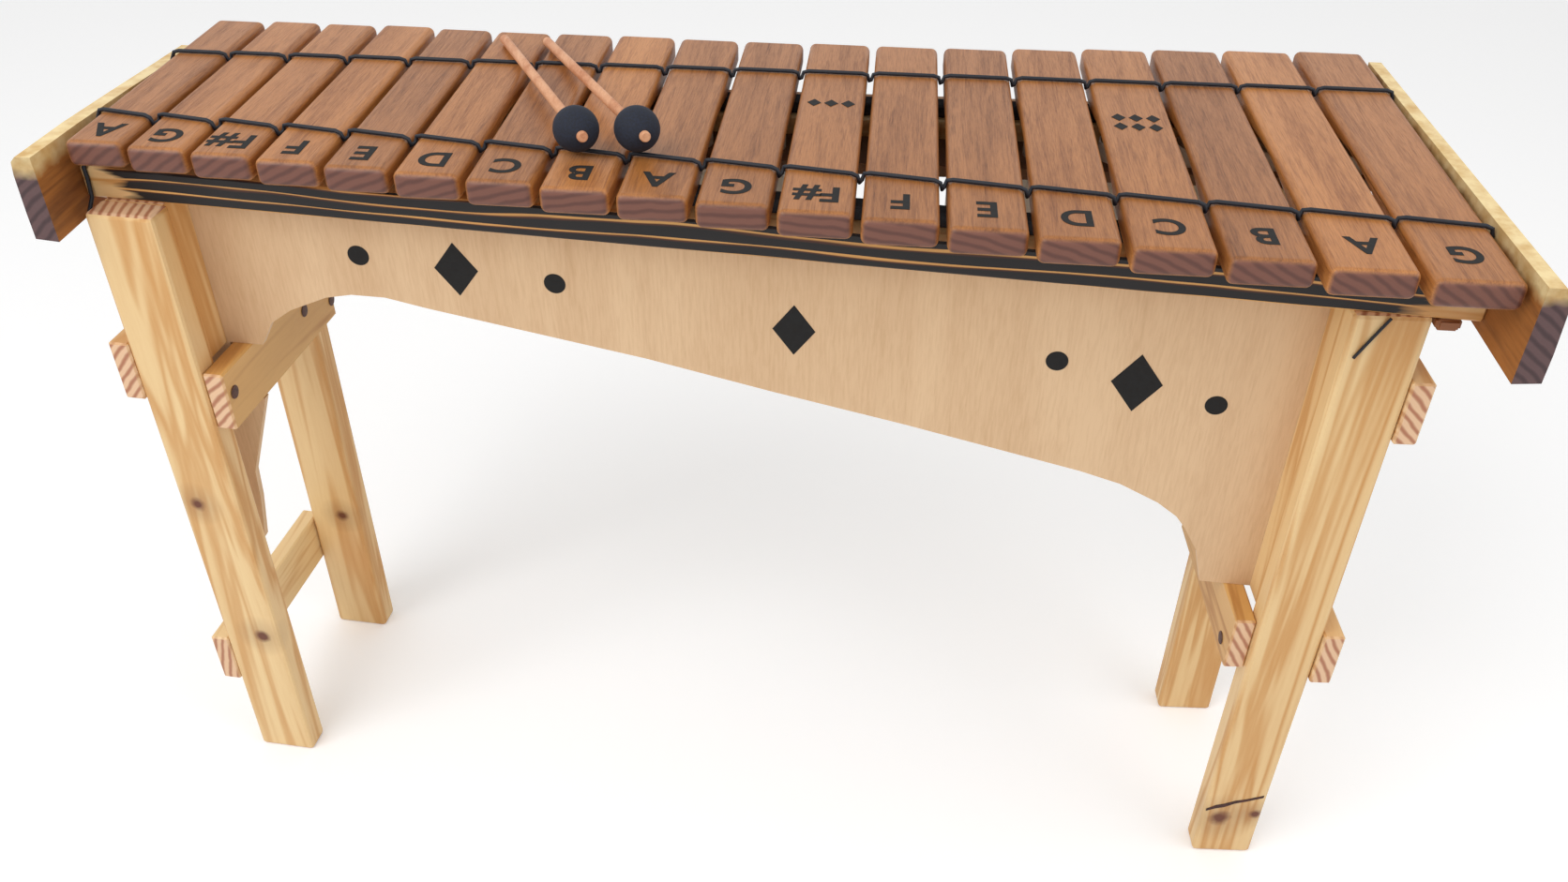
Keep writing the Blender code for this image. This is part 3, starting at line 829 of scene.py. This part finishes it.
# Panel marks: plain dots and lozenges in a regular band, as x, z and a share of their size
panelMarks = {
    "spots": [
        (-0.40, 0.695, 1.0), (-0.30, 0.688, 1.25), (-0.20, 0.681, 1.0), (0.04, 0.650, 1.2),
        (0.30, 0.640, 1.0), (0.38, 0.622, 1.4), (0.46, 0.604, 1.0),
    ],
    "dotRadius": 0.011, "halfWidth": 0.018, "halfHeight": 0.024,
}
panelFace = straightLine((-0.5677, centreShift - 0.1119), (0.5393, centreShift - 0.1727))


def panelShape(name, outline):
    back, front = [], []
    for x, z in outline:
        y = panelFace(x) - paint["panelGap"]
        back.append((x, y, z))
        front.append((x, y - paint["thick"], z))
    meshPiece(name, prism(back, front), inkBlack, "stand", smooth=False)


for count, (x, z, grow) in enumerate(panelMarks["spots"]):
    if count % 2:
        outline = lozenge(x, z, panelMarks["halfWidth"] * grow, panelMarks["halfHeight"] * grow)
        panelShape(f"panelLozenge{count}", outline)
    else:
        panelShape(f"panelDot{count}", roundOutline(x, z, panelMarks["dotRadius"] * grow))
print("stage: panel marks done")

# Bolts through the cross rails: low heads on the inner faces, dark brown as painted shade of the bolt
# holes, each spot as y and z
bolts = {
    "profile": [(0.0075, 0.0), (0.0070, 0.0008), (0.0045, 0.0011), (0.0, 0.0012)],
    "sides": 24, "gap": 0.0001, "crossRailThick": 0.022,
    "left": [(-0.110, 0.548), (0.052, 0.551), (0.113, 0.530)], "right": [(-0.150, 0.323)],
}
# Dark brown with darker specks: painted shade of the bolt holes, not the colour of the metal
boltHoleShadeBrown = plainMaterial("boltHoleShade", tone(92, 50, 32), tone(62, 34, 24), 0.5, 300.0, 0.2)


def makeBolt(name, x, y, z, sign):
    def sideways(radius, out, angle):
        return (x + sign * out, y + radius * math.cos(angle), z + radius * math.sin(angle))

    meshPiece(name, turned(bolts["profile"], bolts["sides"], sideways), boltHoleShadeBrown, "stand")


def railFace(node, y, sign):
    # A cross rail's side face at y: its box's two x values are joined by its slant
    low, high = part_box(node)
    thick = bolts["crossRailThick"]
    share = (y - low[1]) / (high[1] - low[1])
    slant = high[0] - low[0] - thick
    if sign > 0:
        return low[0] + thick + slant * share
    return high[0] - thick - slant * share


boltRails = (
    ("boltLeft", "cross_rail_left_upper_inner", 1, bolts["left"]),
    ("boltRight", "cross_rail_right_lower_inner", -1, bolts["right"]),
)
for name, node, sign, spots in boltRails:
    for count, (y, z) in enumerate(spots):
        makeBolt(f"{name}{count}", railFace(node, y, sign) + sign * bolts["gap"], y, z, sign)

# Mallets: endInset is how far a stick's free end lies inside its box, in x, y and z
mallets = {
    "headRadius": 0.021, "stickRadius": 0.005, "tip": 0.004, "endInset": (0.004, 0.002, 0.0052),
    "sides": 24, "round": 0.0015, "endShare": 0.7, "tipShare": 0.8, "ballSegments": (48, 32),
}
stickWood = {
    "light": tone(226, 172, 132), "dark": tone(186, 118, 78), "rings": 0.4, "ringStrength": 0.4,
    "pores": 0.4, "roughness": 0.45, "bump": 0.1,
}
headRubber = plainMaterial("malletRubber", tone(14, 18, 30), tone(30, 36, 52), 0.78, 500.0, 0.35)


def makeMallet(side):
    headLow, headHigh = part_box(f"mallet_head_{side}")
    stickLow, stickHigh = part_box(f"mallet_stick_{side}")
    insetX, insetY, insetZ = mallets["endInset"]
    head = (Vector(headLow) + Vector(headHigh)) / 2
    end = Vector((stickLow[0] + insetX, stickHigh[1] - insetY, stickLow[2] + insetZ))
    way = (head - end).normalized()
    tip = head + way * (mallets["headRadius"] + mallets["tip"])
    turn = way.to_track_quat("Z", "Y").to_matrix().to_4x4()
    radius, soft = mallets["stickRadius"], mallets["round"]
    length = (tip - end).length
    body = f"mallet_{side}"
    profile = [
        (radius * mallets["endShare"], 0.0), (radius, soft), (radius, length - soft),
        (radius * mallets["tipShare"], length),
    ]
    bm = turned(profile, mallets["sides"], upright())
    bmesh.ops.transform(bm, matrix=Matrix.Translation(end) @ turn, verts=bm.verts)
    wood = woodMaterial(f"malletStick{side}", stickWood, (30.0, 6.0, 30.0), (2.0, 3.0, 4.0))
    meshPiece(f"malletStick_{side}", bm, wood, body, f"mallet_stick_{side}")
    around, down = mallets["ballSegments"]
    bm = bmesh.new()
    bmesh.ops.create_uvsphere(bm, u_segments=around, v_segments=down, radius=mallets["headRadius"])
    bmesh.ops.transform(bm, matrix=Matrix.Translation(head) @ turn, verts=bm.verts)
    meshPiece(f"malletBall_{side}", bm, headRubber, body, f"mallet_head_{side}")


makeMallet("left")
makeMallet("right")
print("stage: mallets done")

# Floor and soft light
studio = {
    "floorSize": 14.0, "floor": tone(248, 248, 248), "floorGlow": 0.16, "world": 0.66,
    "aim": (0.0, 0.0, 0.5),
    "lights": {
        "keyLight": {"place": (-1.6, -1.8, 3.0), "size": 2.2, "power": 52.0},
        "fillLight": {"place": (2.2, -0.8, 2.4), "size": 2.0, "power": 18.0},
    },
}
white = (1.0, 1.0, 1.0, 1.0)


def makeFloor():
    # A pale floor that glows a little, to the camera only
    bm = bmesh.new()
    bmesh.ops.create_grid(bm, x_segments=1, y_segments=1, size=studio["floorSize"] / 2)
    mesh = bpy.data.meshes.new("studioFloor")
    bm.to_mesh(mesh)
    bm.free()
    floor = bpy.data.objects.new("studioFloor", mesh)
    scene.collection.objects.link(floor)
    material, tree, shader = startMaterial("floorPaint", 0.9)
    setInputs(shader, {"Base Color": studio["floor"], "Emission Color": white})
    seen = addNode(tree, "ShaderNodeLightPath", -600)
    glow = mathNode(tree, "MULTIPLY", seen.outputs["Is Camera Ray"], studio["floorGlow"])
    link(tree, glow, shader.inputs["Emission Strength"])
    mesh.materials.append(material)


def makeWorld():
    # Full white to the camera and in reflections, weaker as light
    world = bpy.data.worlds.new("studioWorld")
    scene.world = world
    world.use_nodes = True
    tree = world.node_tree
    background = tree.nodes["Background"]
    rays = addNode(tree, "ShaderNodeLightPath", -600)
    seen = mathNode(tree, "MAXIMUM", rays.outputs["Is Camera Ray"], rays.outputs["Is Glossy Ray"])
    strength = rangeNode(tree, seen, 0.0, 1.0, studio["world"], 1.0)
    setInputs(background, {"Color": white})
    link(tree, strength, background.inputs["Strength"])


def makeLight(name, facts):
    data = bpy.data.lights.new(name, "AREA")
    data.size = facts["size"]
    data.energy = facts["power"]
    item = bpy.data.objects.new(name, data)
    item.location = facts["place"]
    aim = Vector(studio["aim"]) - Vector(facts["place"])
    item.rotation_euler = aim.to_track_quat("-Z", "Y").to_euler()
    scene.collection.objects.link(item)


makeFloor()
makeWorld()
for name, facts in studio["lights"].items():
    makeLight(name, facts)
print("stage: studio done")
